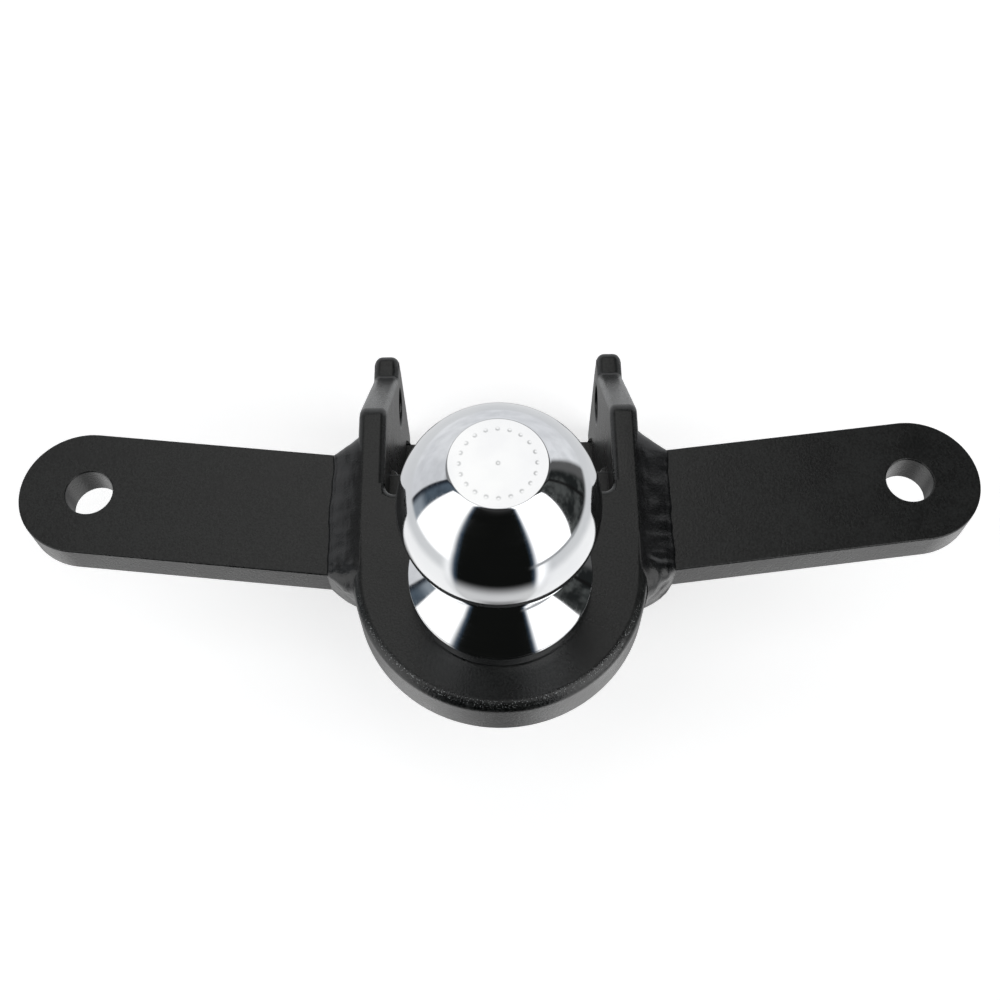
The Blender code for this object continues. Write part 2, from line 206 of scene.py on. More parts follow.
def plate_mesh(name, outline, place, low, high, rim_at, holes=()):
    """Plate whose sharp edges are rounded; rim_at gives an edge's radius from the edge's middle."""
    bm = bmesh.new()
    face = bm.faces.new([bm.verts.new(place(a, b, low)) for a, b in outline])
    moved = bmesh.ops.extrude_face_region(bm, geom=[face])["geom"]
    shift = Vector(place(0, 0, high)) - Vector(place(0, 0, low))
    bmesh.ops.translate(bm, verts=[v for v in moved if isinstance(v, bmesh.types.BMVert)], vec=shift)
    bmesh.ops.recalc_face_normals(bm, faces=bm.faces)
    mesh = bpy.data.meshes.new(name)
    bm.to_mesh(mesh)
    bm.free()
    mesh.shade_smooth()
    shaped = bpy.data.objects.new(name, mesh)
    bpy.context.scene.collection.objects.link(shaped)
    cutters = [add_cutter(shaped, *hole) for hole in holes]
    shaped.data = evaluated_mesh(shaped)
    shaped.modifiers.clear()
    widest = weigh_rims(shaped.data, rim_at)
    bevel = shaped.modifiers.new("rim", "BEVEL")
    bevel.width = widest
    bevel.segments = 6
    bevel.limit_method = "WEIGHT"
    bevel.use_clamp_overlap = False
    normals = shaped.modifiers.new("normals", "WEIGHTED_NORMAL")
    normals.weight = 100
    normals.keep_sharp = True
    result = evaluated_mesh(shaped)
    for spare in [shaped] + cutters:
        bpy.data.objects.remove(spare)
    result.name = name
    return result


def evaluated_mesh(shaped):
    """Mesh with the object's modifiers applied."""
    bpy.context.view_layer.update()
    return bpy.data.meshes.new_from_object(shaped.evaluated_get(bpy.context.evaluated_depsgraph_get()))


def weigh_rims(mesh, rim_at):
    """Weigh each sharp edge for the bevel; returns the radius that a weight of 1 stands for."""
    bm = bmesh.new()
    bm.from_mesh(mesh)
    weight = bm.edges.layers.float.new("bevel_weight_edge")
    radii = {}
    for edge in bm.edges:
        if edge.calc_face_angle(0) > math.radians(40):
            first, last = (v.co for v in edge.verts)
            radii[edge] = rim_at((first + last) / 2)
    widest = max(radii.values())
    for edge, radius in radii.items():
        edge[weight] = radius / widest
        edge.smooth = radius > 0
    bm.to_mesh(mesh)
    bm.free()
    return widest


def ramp(value, start, end, first, last):
    """From first to last as value goes from start to end."""
    share = min(1.0, max(0.0, (value - start) / (end - start)))
    return first + (last - first) * share


def add_cutter(shaped, centre, radius, axis):
    """Cylinder that cuts a round hole through `shaped`."""
    bm = bmesh.new()
    bmesh.ops.create_cone(bm, cap_ends=True, segments=72, radius1=radius, radius2=radius, depth=60 * MM)
    turn = Vector((0, 0, 1)).rotation_difference(Vector(axis)).to_matrix().to_4x4()
    bmesh.ops.transform(bm, matrix=Matrix.Translation(centre) @ turn, verts=bm.verts)
    for face in bm.faces:
        face.smooth = True
    mesh = bpy.data.meshes.new("cutter")
    bm.to_mesh(mesh)
    bm.free()
    cutter = bpy.data.objects.new("cutter", mesh)
    bpy.context.scene.collection.objects.link(cutter)
    cut = shaped.modifiers.new("hole", "BOOLEAN")
    cut.operation = "DIFFERENCE"
    cut.solver = "EXACT"
    cut.object = cutter
    return cutter


# ---------------------------------------------------------------- materials

class Nodes:
    """Short calls for wiring a node tree."""

    def __init__(self, tree):
        self.tree = tree

    def add(self, kind, **settings):
        node = self.tree.nodes.new(kind)
        for key, value in settings.items():
            setattr(node, key, value)
        return node

    def feed(self, socket, value):
        if isinstance(value, bpy.types.NodeSocket):
            self.tree.links.new(value, socket)
        else:
            socket.default_value = value

    def math(self, operation, *values):
        node = self.add("ShaderNodeMath", operation=operation)
        for socket, value in zip(node.inputs, values):
            self.feed(socket, value)
        return node.outputs[0]

    def remap(self, value, low, high, to_low=0.0, to_high=1.0, smooth=True):
        node = self.add("ShaderNodeMapRange", interpolation_type="SMOOTHSTEP" if smooth else "LINEAR")
        for key, amount in (("Value", value), ("From Min", low), ("From Max", high),
                            ("To Min", to_low), ("To Max", to_high)):
            self.feed(node.inputs[key], amount)
        return node.outputs[0]

    def mix(self, share, first, second):
        node = self.add("ShaderNodeMix", data_type="RGBA")
        self.feed(node.inputs["Factor"], share)
        self.feed(node.inputs[6], first)
        self.feed(node.inputs[7], second)
        return node.outputs[2]

    def noise(self, place, scale, detail=2.0, roughness=0.5):
        node = self.add("ShaderNodeTexNoise")
        self.feed(node.inputs["Vector"], place)
        node.inputs["Scale"].default_value = scale
        node.inputs["Detail"].default_value = detail
        node.inputs["Roughness"].default_value = roughness
        return node.outputs["Fac"]

    def bump(self, height, distance, strength=1.0, below=None):
        node = self.add("ShaderNodeBump")
        node.inputs["Strength"].default_value = strength
        node.inputs["Distance"].default_value = distance
        self.feed(node.inputs["Height"], height)
        if below is not None:
            self.feed(node.inputs["Normal"], below)
        return node.outputs["Normal"]


def start_material(name):
    material = bpy.data.materials.new(name)
    material.use_nodes = True
    tree = material.node_tree
    return material, Nodes(tree), tree.nodes["Principled BSDF"]


def powder_coat(name, dark, light, lumps=0.0, painted_glints=False):
    """Powder coat: faint orange peel and grain, coarser on upright faces. `lumps` roughens weld beads;
    the glint switch paints pale specks into the base colour on edges rounded towards the front, as painted
    glints."""
    material, nodes, shader = start_material(name)
    texture = nodes.add("ShaderNodeTexCoord")
    place = texture.outputs["Object"]
    clouds = nodes.noise(place, 60.0, 4.0, 0.6)
    grain = nodes.noise(place, 1500.0, 2.0, 0.6)
    tone = nodes.math("ADD", nodes.math("MULTIPLY", clouds, 0.3), nodes.math("MULTIPLY", grain, 0.7))
    split = nodes.add("ShaderNodeSeparateXYZ")
    nodes.feed(split.inputs[0], texture.outputs["Normal"])
    upright = nodes.math("SUBTRACT", 1.0, nodes.math("ABSOLUTE", split.outputs[2]))
    coat = nodes.mix(nodes.remap(tone, 0.39, 0.61), dark, light)
    # Painted glints: pale specks painted into the base colour on edges rounded towards the front, standing
    # in for highlights
    if painted_glints:
        painted_glint_colour = (0.20, 0.21, 0.21, 1)
        glint_rim = nodes.math("MULTIPLY", nodes.remap(split.outputs[1], -0.02, -0.22),
                               nodes.remap(upright, 0.12, 0.42, 1.0, 0.0))
        painted_glint_specks = nodes.remap(nodes.noise(place, 2600.0, 0.0, 0.5), 0.64, 0.76)
        coat = nodes.mix(nodes.math("MULTIPLY", painted_glint_specks, glint_rim), coat, painted_glint_colour)
    nodes.feed(shader.inputs["Base Color"], coat)
    nodes.feed(shader.inputs["Roughness"], nodes.remap(clouds, 0.25, 0.75, 0.24, 0.32))
    shader.inputs["IOR"].default_value = 1.5
    coarseness = nodes.remap(upright, 0.0, 0.5, 1.0, 2.2)
    peel = nodes.math("MULTIPLY", nodes.noise(place, 1150.0, 2.0, 0.6), coarseness)
    speckle = nodes.math("MULTIPLY", grain, coarseness)
    fine = nodes.bump(speckle, 0.06 * MM, 0.6, nodes.bump(peel, 0.08 * MM, 0.5))
    if lumps:
        fine = nodes.bump(nodes.noise(place, 330.0, 3.0, 0.6), 0.35 * MM, lumps, fine)
    nodes.feed(shader.inputs["Normal"], fine)
    return material


def chrome_plate():
    """Polished chrome with faint turning marks and a little haze."""
    material, nodes, shader = start_material("chrome_plate")
    place = nodes.add("ShaderNodeTexCoord").outputs["Object"]
    stretch = nodes.add("ShaderNodeMapping")
    nodes.feed(stretch.inputs["Vector"], place)
    stretch.inputs["Scale"].default_value = (60.0, 60.0, 2400.0)
    streaks = nodes.noise(stretch.outputs["Vector"], 1.0, 3.0, 0.6)
    haze = nodes.noise(place, 55.0, 3.0, 0.6)
    nodes.feed(shader.inputs["Base Color"],
               nodes.mix(nodes.remap(haze, 0.3, 0.7), (0.70, 0.71, 0.73, 1), (0.76, 0.77, 0.78, 1)))
    shader.inputs["Metallic"].default_value = 1.0
    wear = nodes.math("ADD", nodes.math("MULTIPLY", streaks, 0.5), nodes.math("MULTIPLY", haze, 0.5))
    nodes.feed(shader.inputs["Roughness"], nodes.remap(wear, 0.3, 0.75, 0.03, 0.12))
    nodes.feed(shader.inputs["Normal"], nodes.bump(streaks, 0.004 * MM, 0.25))
    return material


def zinc_plate():
    """Dull zinc: mottled grey with a fine crystalline grain."""
    material, nodes, shader = start_material("zinc_plate")
    place = nodes.add("ShaderNodeTexCoord").outputs["Object"]
    mottle = nodes.noise(place, 140.0, 4.0, 0.65)
    grain = nodes.noise(place, 1800.0, 2.0, 0.6)
    nodes.feed(shader.inputs["Base Color"],
               nodes.mix(nodes.remap(mottle, 0.3, 0.7), (0.44, 0.45, 0.46, 1), (0.62, 0.63, 0.64, 1)))
    shader.inputs["Metallic"].default_value = 1.0
    nodes.feed(shader.inputs["Roughness"], nodes.remap(mottle, 0.25, 0.75, 0.28, 0.45))
    nodes.feed(shader.inputs["Normal"], nodes.bump(grain, 0.03 * MM, 0.4))
    return material


DARK_COAT, LIGHT_COAT = (0.0005, 0.0008, 0.0007, 1), (0.0115, 0.0125, 0.0122, 1)
DARK_BEAD, LIGHT_BEAD = (0.0010, 0.0012, 0.0014, 1), (0.0070, 0.0075, 0.0083, 1)
COAT = powder_coat("powder_coat", DARK_COAT, LIGHT_COAT)
# The platform's coat carries painted glints on its edges rounded towards the front
PLATFORM_COAT_PAINTED_GLINTS = powder_coat("platform_coat_painted_glints", DARK_COAT, LIGHT_COAT, painted_glints=True)
WELD_COAT = powder_coat("weld_powder_coat", DARK_BEAD, LIGHT_BEAD, lumps=0.22)
CHROME = chrome_plate()
ZINC = zinc_plate()


# ---------------------------------------------------------------- ball, nut and washer

def thread_radius(angle, height, crest, depth):
    """Radius of a right-hand screw thread with flat crests and roots."""
    phase = (height / THREAD_LEAD - angle / (2 * math.pi)) % 1.0
    flank = np.clip(np.abs(phase - 0.5) * 2.6 - 0.35, 0.0, 1.0)
    return crest - depth * flank


def punch_marks():
    """Centres of the punch dots on the ball's flat: a plain ring, and one in the middle."""
    return [(0, 0)] + [(PUNCH_RING_RADIUS * math.cos(a), PUNCH_RING_RADIUS * math.sin(a))
                       for a in np.linspace(0, 2 * math.pi, PUNCH_DOTS, endpoint=False)]


def ball_rows(around):
    """Rings of the ball, from the middle of its flat down to the shank's foot."""
    angle = np.linspace(0, 2 * math.pi, around, endpoint=False)
    cos, sin = np.cos(angle), np.sin(angle)
    flat_radius = math.sqrt(BALL_RADIUS ** 2 - (BALL_TOP - BALL_CENTRE_Z) ** 2)
    flat_edge = 0.06 * MM
    dot_depth, dot_spread = 0.06 * MM, 0.6 * MM
    tip = 0.05 * MM
    seat_gap = 0.35 * MM
    rim_rounding = 0.6 * MM
    plain_shank = 14 * MM
    end_chamfer = 2.0 * MM
    rows = []

    def ring(radius, height):
        radius = np.broadcast_to(radius, angle.shape)
        height = np.broadcast_to(height, angle.shape)
        rows.append(np.stack([radius * cos, BALL_Y + radius * sin, height], axis=1))

    marks = np.array(punch_marks())
    for radius in np.linspace(tip, flat_radius - flat_edge, 90):
        x, y = radius * cos, radius * sin
        away = np.min(np.hypot(x[:, None] - marks[:, 0], y[:, None] - marks[:, 1]), axis=1)
        dent = dot_depth * np.exp(-(away / dot_spread) ** 2)
        ring(radius, BALL_TOP - dent)
    first_tilt = math.asin((flat_radius + flat_edge) / BALL_RADIUS)
    last_tilt = math.pi - math.asin(NECK_RADIUS / BALL_RADIUS)
    for tilt in np.linspace(first_tilt, last_tilt, 84):
        ring(BALL_RADIUS * math.sin(tilt), BALL_CENTRE_Z + BALL_RADIUS * math.cos(tilt))
    for share in np.linspace(0.04, 0.985, 26):
        spread = 0.35 * share + 0.65 * share ** 2
        ring(NECK_RADIUS + (FLANGE_RADIUS - NECK_RADIUS) * spread,
             TOP_Z + NECK_FOOT + (FLANGE_RIM - NECK_FOOT) * share)
    for tilt in np.linspace(50, 0, 6):
        ring(FLANGE_RADIUS - rim_rounding + rim_rounding * math.cos(math.radians(tilt)),
             TOP_Z + FLANGE_RIM - rim_rounding + rim_rounding * math.sin(math.radians(tilt)))
    ring(FLANGE_RADIUS, TOP_Z + 1.0 * MM)
    ring(FLANGE_RADIUS - rim_rounding, TOP_Z + seat_gap)
    ring(SHANK_RADIUS, TOP_Z + seat_gap)
    thread_top = TOP_Z - plain_shank
    for height in np.arange(thread_top, SHANK_FOOT, -THREAD_LEAD / 8):
        depth = ramp(thread_top - height, 0.0, 2 * MM, 0.0, THREAD_DEPTH)
        radius = thread_radius(angle, height, SHANK_RADIUS, depth)
        chamfer = SHANK_RADIUS - end_chamfer + (height - SHANK_FOOT)
        ring(np.minimum(radius, chamfer), height)
    ring(SHANK_RADIUS - end_chamfer, SHANK_FOOT)
    ring(tip, SHANK_FOOT)
    return rows


def make_ball():
    mesh = lattice("chromed_ball", ball_rows(240), sharp=28)
    new_piece("chromed_ball", mesh, "hitch", ["hitch_ball"], CHROME)


def make_nut():
    """Hexagon nut with turned-down corners, threaded bore and countersunk mouths."""
    around = 192
    angle = np.linspace(0, 2 * math.pi, around, endpoint=False)
    flat = (NUT_HIGH.x - NUT_LOW.x) / 2
    corner = flat / math.cos(math.pi / 6)
    within = (angle + math.pi / 6) % (math.pi / 3) - math.pi / 6
    hexagon = flat / np.cos(within)
    face_radius = flat - 0.4 * MM
    corner_drop = 3.3 * MM
    slope = (corner - face_radius) / corner_drop
    countersink = 1.4 * MM
    rows = []

    def ring(radius, height):
        radius = np.broadcast_to(radius, angle.shape)
        rows.append(np.stack([radius * np.cos(angle), BALL_Y + radius * np.sin(angle),
                              np.full(around, height)], axis=1))

    low, high = NUT_LOW.z, NUT_HIGH.z
    bore = SHANK_RADIUS + THREAD_CLEARANCE
    rise = np.linspace(0, 3.6 * MM, 14)
    for depth in rise:
        ring(np.minimum(hexagon, face_radius + slope * depth), high - depth)
    for depth in rise[::-1]:
        ring(np.minimum(hexagon, face_radius + slope * depth), low + depth)
    ring(bore + countersink, low)
    for height in np.arange(low + 0.3 * MM, high - 0.3 * MM, THREAD_LEAD / 12):
        depth = min(height - low, high - height)
        inner = thread_radius(angle, height, bore, THREAD_DEPTH)
        ring(np.maximum(inner, bore + countersink - depth), height)
    ring(bore + countersink, high)
    mesh = lattice("zinc_nut", rows, closed_rows=True)
    new_piece("zinc_nut", mesh, "nut", ["ball_nut"], ZINC)


def make_washer():
    """Split washer with soft edges; its slit faces forward and is cut on the slant."""
    outer = (WASHER_HIGH.x - WASHER_LOW.x) / 2
    low, high = WASHER_LOW.z, WASHER_HIGH.z
    soft = 0.7 * MM
    section = filleted([(WASHER_BORE_RADIUS, low, soft), (outer, low, soft), (outer, high, soft),
                        (WASHER_BORE_RADIUS, high, soft)], 5)
    half_slit = 1.2 * MM / outer
    slant = 1.6 * MM / outer
    rows = []
    for share in np.linspace(0, 1, 161):
        ring = []
        for radius, height in section:
            lean = slant * ((height - low) / (high - low) - 0.5)
            angle = -math.pi / 2 + half_slit + share * (2 * math.pi - 2 * half_slit) + lean
            ring.append((radius * math.cos(angle), BALL_Y + radius * math.sin(angle), height))
        rows.append(ring)
    mesh = lattice("split_washer", rows)
    new_piece("split_washer", mesh, "washer", ["lock_washer"], ZINC)


# ---------------------------------------------------------------- plates

def make_platform():
    """Plate with a round front; its two rear lugs meet the cheeks on each side of a filleted notch."""
    arc_y = PLATFORM_LOW.y + HALF_WIDTH
    notch = NOTCH_CORNER
    rear_y = PLATFORM_REAR_Y
    lug_y = PLATFORM_HIGH.y
    outline = arc((0, arc_y), HALF_WIDTH, 180, 360, 120)
    outline += [(HALF_WIDTH, y) for y in np.linspace(arc_y, lug_y, 30)[1:]]
    outline += [(CHEEK_INNER_X, y) for y in np.linspace(lug_y, rear_y + notch, 18)[:-1]]
    outline += arc((CHEEK_INNER_X - notch, rear_y + notch), notch, 0, -90, 10)
    outline += arc((notch - CHEEK_INNER_X, rear_y + notch), notch, -90, -180, 10)
    outline += [(-CHEEK_INNER_X, y) for y in np.linspace(rear_y + notch, lug_y, 18)[1:]]
    outline += [(-HALF_WIDTH, y) for y in np.linspace(lug_y, arc_y, 30)[:-1]]

    def rim_at(middle):
        if middle.y > lug_y - NEAR:
            return 0
        if middle.z < TOP_Z - NEAR:
            return PLAIN_RIM
        if abs(middle.x) < CHEEK_INNER_X + NEAR and middle.y > rear_y - NEAR:
            return ramp(middle.y, rear_y + notch, lug_y - 2 * MM, NOTCH_RIM, CHEEK_RIM)
        return ramp(middle.y, arc_y, arc_y + 14 * MM, PLATFORM_ROUNDING, CHEEK_RIM)

    mesh = plate_mesh("coated_platform", outline, level_plan, UNDER_Z, TOP_Z, rim_at,
                      [((0, BALL_Y, TOP_Z), SHANK_HOLE_RADIUS, (0, 0, 1))])
    new_piece("coated_platform", mesh, "hitch", ["ball_platform"], PLATFORM_COAT_PAINTED_GLINTS)


def make_cheek(word, side):
    """Side plate; it meets the platform's lug without a step, as if welded and ground flush."""
    seam_y = PLATFORM_HIGH.y
    corner = CHEEK_CORNER
    outline = filleted([(seam_y, TOP_Z, 0), (seam_y, UNDER_Z, 0), (CHEEK_LOW.y, UNDER_Z, 0),
                        (CHEEK_LOW.y, UNDER_Z - FRONT_DROP, corner), (TOE_Y, CHEEK_LOW.z, corner),
                        (CHEEK_HIGH.y, CHEEK_LOW.z, corner), (CHEEK_HIGH.y, CAP_Z, CAP_CORNER),
                        (CAP_Y, CAP_Z, corner), (SHOULDER_Y, TOP_Z, 2 * corner)])

    def rim_at(middle):
        if middle.y < seam_y + NEAR and middle.z > UNDER_Z + NEAR:
            return 0
        if middle.z > UNDER_Z - NEAR and middle.y < seam_y + NEAR:
            return HIDDEN_RIM
        if math.hypot(middle.y, middle.z) < HOLE_RADIUS + NEAR:
            return HOLE_RIM
        if middle.z > CAP_Z - 2 * CAP_CORNER:
            return ramp(middle.y, CAP_Y + corner, CHEEK_HIGH.y - CAP_CORNER, CHEEK_RIM, CAP_RIM)
        return CHEEK_RIM

    levels = sorted((side * CHEEK_INNER_X, side * CHEEK_OUTER_X))
    mesh = plate_mesh(word + "_coated_cheek", outline, side_plan, *levels, rim_at,
                      [((sum(levels) / 2, 0, 0), HOLE_RADIUS, (1, 0, 0))])
    new_piece(word + "_coated_cheek", mesh, "hitch", [word + "_cheek_plate"], COAT)


def bar_line_y(x, offset):
    """Y on a line parallel to the bar's centre line; `offset` is square to the bar."""
    return BAR_AXIS_Y + x * math.tan(SWEEP) + offset / math.cos(SWEEP)


def make_bar(word, side):
    """Swept flat bar with a round end and one hole."""
    half = BAR_WIDTH / 2
    sweep = math.degrees(SWEEP)
    root_x = BAR_LOW.x
    outline = [(root_x, bar_line_y(root_x, -half))]
    outline += arc((BAR_END_X, bar_line_y(BAR_END_X, 0)), half, sweep - 90, sweep + 90, 72)
    outline += [(root_x, bar_line_y(root_x, half))]
    outline = [(side * x, y) for x, y in outline]
    hole = (side * BAR_HOLE_X, bar_line_y(BAR_HOLE_X, 0), BAR_LOW.z)
    mesh = plate_mesh(word + "_coated_bar", outline, level_plan, BAR_LOW.z, BAR_HIGH.z,
                      lambda middle: PLAIN_RIM, [(hole, HOLE_RADIUS, (0, 0, 1))])
    new_piece(word + "_coated_bar", mesh, "hitch", [word + "_tie_bar"], COAT)


def make_box_plate(name, node, low, high):
    """Plate between the cheeks, flush against both."""
    half = CHEEK_INNER_X
    outline = [(-half, low.y), (half, low.y), (half, high.y), (-half, high.y)]

    def rim_at(middle):
        return 0 if abs(middle.x) > half - NEAR else BOX_PLATE_RIM

    mesh = plate_mesh(name, outline, level_plan, low.z, high.z, rim_at)
    new_piece(name, mesh, "hitch", [node], COAT)


# ---------------------------------------------------------------- weld beads

def lumps(point, size):
    """Smooth noise from -1 to 1 with lumps of about `size`."""
    return noise.noise(Vector(point) / size)


def ripple(travel, across, pitch):
    """Overlapping crescents of a laid bead: travel along it, across from -1 to 1."""
    phase = (travel + 0.9 * pitch * across ** 2) / pitch
    return abs(math.sin(math.pi * phase)) ** 0.7 - 0.5


def make_bar_weld(word, side):
    """One bead all round a bar's root, climbing over the platform's edge on top."""
    half = BAR_WIDTH / 2
    low, high = BAR_LOW.z, BAR_HIGH.z
    soft = 1.6 * MM
    inside = -0.8 * MM
    reach_by_side, front_leg, rear_leg, belly, seed = ROOT_BEADS[word]
    corners = [(-half, low, soft), (half, low, soft), (half, high, soft), (-half, high, soft)]
    loop = []
    ring = filleted(corners, 6)
    for i, point in enumerate(ring):
        ahead = ring[(i + 1) % len(ring)]
        steps = max(1, round(math.dist(point, ahead) / (0.5 * MM)))
        loop += [tuple(np.array(point) + (np.array(ahead) - np.array(point)) * s / steps)
                 for s in range(steps)]
    rows = []
    travel = 0.0
    for i, (offset, z) in enumerate(loop):
        travel += math.dist(loop[i - 1], (offset, z))
        core = (min(max(offset, soft - half), half - soft), min(max(z, low + soft), high - soft))
        out = Vector((offset - core[0], z - core[1])).normalized()
        upward = max(0.0, out.y)
        front_corner = max(0.0, 1 - math.dist((offset, z), (-half, high)) / (7 * MM))
        low_corner = max(0.0, 1 - math.dist((offset, z), (-half, low)) / (8 * MM))
        # Reach along the bar: broad waves with small ones on them
        reach = reach_by_side + 0.7 * MM * lumps((travel, seed, 0), 9 * MM)
        reach += 0.3 * MM * lumps((travel, seed, 5), 3 * MM)
        # Leg out from the bar: each side's own, and uneven except on top
        leg = (ROOT_TOP_LEG * upward ** 2 + ROOT_BOTTOM_LEG * max(0.0, -out.y) ** 2
               + front_leg * max(0.0, -out.x) ** 2 + rear_leg * max(0.0, out.x) ** 2)
        leg += 0.5 * MM * lumps((travel, seed, 9), 6 * MM) * (1 - upward)
        # Section, from the crown over the platform's edge to the toe on the bar
        spill = ROOT_SPILL * upward ** 4
        power = 1.02 + 0.25 * upward - 0.24 * max(0.0, out.x)
        section = []
        for step in range(23):
            share = step / 22
            hollow = math.sin(math.pi * share)
            along = -spill + (reach + spill) * share
            rise = leg * (1 - share ** power) ** (1 / power)
            streak = lumps((travel * 0.16, along * 1.2, seed), 1.1 * MM)
            crescent = ripple(travel, 2 * share - 1, 3.2 * MM) * max(0.0, lumps((travel, 3, seed), 14 * MM))
            swell = hollow * (0.10 * MM + 0.07 * MM * streak + 0.06 * MM * crescent
                              + 0.20 * MM * lumps((travel, along, seed), 5 * MM) + belly * low_corner
                              + 0.9 * MM * front_corner * lumps((travel, along, seed + 2), 2.6 * MM))
            lip = max(0.0, 1 - abs(share - 0.93) / 0.05) * upward ** 4
            rise += 0.8 * MM * lip * (0.7 + 0.5 * lumps((travel, seed, 7), 4 * MM))
            section.append((along + swell, rise + swell))
        section += [(reach - 1 * MM, inside), (inside - spill, inside), (inside - spill, leg - 0.6 * MM)]
        row = []
        for along, rise in section:
            x = HALF_WIDTH + along
            row.append((side * x, bar_line_y(x, offset + out.x * rise), z + out.y * rise))
        rows.append(row)
    mesh = lattice(word + "_root_bead", rows, closed_rows=True)
    replaced = [f"{word}_bar_{run}_weld" for run in ("top", "bottom", "front", "rear")]
    new_piece(word + "_root_bead", mesh, "hitch", replaced, WELD_COAT)


def make_corner_bead(name, node, corner, into, up, along, leg):
    """Rippled fillet bead in an inside corner, thinning at both ends."""
    corner, into, up, along = (Vector(v) for v in (corner, into, up, along))
    sunk = 0.4 * MM
    length = along.length
    count = max(8, round(length / (0.45 * MM)))
    rows = []
    for i in range(count + 1):
        travel = length * i / count
        end = min(travel, length - travel)
        full = 0.75 + 0.25 * math.sqrt(min(1.0, (end + 0.1 * MM) / leg))
        base = corner + along * (i / count)
        size = leg * full * (1 + 0.10 * lumps((travel, leg, corner.x), 5 * MM))
        row = [base - into * sunk - up * sunk]
        for step in range(13):
            share = step / 12
            hollow = math.sin(math.pi * share)
            swell = hollow * size * (0.10 + 0.04 * ripple(travel, 2 * share - 1, 2.2 * MM))
            row.append(base + into * (size * (1 - share) + swell) + up * (size * share + swell))
        rows.append([tuple(p) for p in row])
    mesh = lattice(name, rows)
    new_piece(name, mesh, "hitch", [node], WELD_COAT)


def make_inner_welds(word, side):
    """Beads that join one cheek to the web, the floor plate and the platform."""
    wall = side * CHEEK_INNER_X
    inward = (-side, 0, 0)
    solid_gap = 0.3 * MM
    beads = {"web_weld": ("web_bead", (0, 1, 0), 2),
             "floor_rear_weld": ("floor_end_bead", (0, 1, 0), 2),
             "floor_bottom_weld": ("floor_bead", (0, 0, -1), 1),
             "platform_weld": ("platform_bead", (0, 0, -1), 1)}
    for node, (bead, up, axis) in beads.items():
        low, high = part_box(f"{word}_{node}")
        start = Vector((wall, low.y, low.z))
        along = Vector((0, 0, 0))
        along[axis] = high[axis] - low[axis]
        if up[2] < 0:
            start.z = high.z + solid_gap
        else:
            start.y = low.y - solid_gap
        leg = (high.x - low.x) * (0.7 if node == "floor_rear_weld" else 1.0)
        make_corner_bead(f"{word}_{bead}", f"{word}_{node}", start, inward, up, along, leg)


# ---------------------------------------------------------------- stage

def make_floor():
    """Pale floor under the part, left out of the mirrored studio."""
    size = 3.0
    mesh = bpy.data.meshes.new("studio_floor")
    height = cad_bounds[0][2] - 0.2 * MM
    mesh.from_pydata([(-size, -size, height), (size, -size, height), (size, size, height),
                      (-size, size, height)], [], [(0, 1, 2, 3)])
    material, nodes, shader = start_material("pale_floor")
    place = nodes.add("ShaderNodeTexCoord").outputs["Object"]
    nodes.feed(shader.inputs["Base Color"],
               nodes.mix(nodes.noise(place, 3.0), (0.80, 0.80, 0.80, 1), (0.83, 0.83, 0.83, 1)))
    shader.inputs["Roughness"].default_value = 0.8
    shader.inputs["Emission Color"].default_value = (1, 1, 1, 1)
    shader.inputs["Emission Strength"].default_value = 0.55
    mesh.materials.append(material)
    floor = bpy.data.objects.new("studio_floor", mesh)
    bpy.context.scene.collection.objects.link(floor)
    floor.visible_glossy = False


